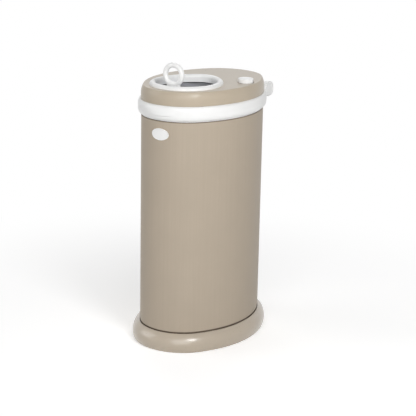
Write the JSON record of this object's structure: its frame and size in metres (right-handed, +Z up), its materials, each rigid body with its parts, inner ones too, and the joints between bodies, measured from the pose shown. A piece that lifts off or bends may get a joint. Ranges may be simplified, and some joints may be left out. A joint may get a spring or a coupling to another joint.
{
  "type": "nappy bin",
  "caption": "Tall oval nappy bin: steel can on a moulded base, hinged lid with a sliding door on a ring handle and a child-lock button.",
  "frame": {"origin": "on the ground under the middle of the whole bin's box", "axes": "+Z up; the plaque and the ring handle face -Y, the hinge is at +Y, the lock button is on the +X side"},
  "size_m": [0.213, 0.3158, 0.4953],
  "materials": {
    "body_paint": "satin taupe powder coat",
    "base_plastic": "satin taupe moulding",
    "lid_plastic": "soft gloss taupe moulding",
    "white_plastic": "soft gloss white moulding",
    "grey_plastic": "matt grey moulding",
    "polished_steel": "polished stainless sheet",
    "pan_steel": "galvanised sheet",
    "fastener_steel": "zinc plated",
    "rubber": "matt"
  },
  "bodies": {
    "root": {"base_skirt": "base_plastic", "base_feet": "rubber", "base_screws": "fastener_steel", "bottom_pan": "pan_steel", "shell": "body_paint", "badge_plate": "white_plastic", "mouth_collar": "white_plastic", "bag_ring": "grey_plastic", "hinge_bracket": "white_plastic", "hinge_backplate": "pan_steel", "hinge_rivets": "fastener_steel", "hinge_pin": "fastener_steel"},
    "lid": {"lid_frame": "white_plastic", "lid_cap": "lid_plastic", "lid_screws": "fastener_steel", "opening_bezel": "white_plastic", "mouth_chute": "white_plastic", "door_seal": "rubber", "lid_seal": "rubber", "rail_left": "white_plastic", "rail_right": "white_plastic", "lock_guide": "white_plastic", "hinge_caps": "white_plastic"},
    "door": {"door_plate": "polished_steel", "ring_handle": "white_plastic", "handle_screws": "fastener_steel", "runner_left": "grey_plastic", "runner_right": "grey_plastic"},
    "lock": {"lock_button": "white_plastic", "lock_bolt": "fastener_steel", "lock_clip": "fastener_steel"}
  },
  "joints": [
    {"name": "lid_hinge", "type": "hinge", "parent": "root", "child": "lid", "pos_m": [0, 0.13995, 0.4191], "axis": [-1, 0, 0], "range_deg": [0, 95]},
    {"name": "door_slide", "type": "slide", "parent": "lid", "child": "door", "axis": [0, 1, 0], "range_m": [0, 0.088]},
    {"name": "lock_press", "type": "slide", "parent": "lid", "child": "lock", "axis": [0, 0, -1], "range_m": [0, 0.005]}
  ]
}
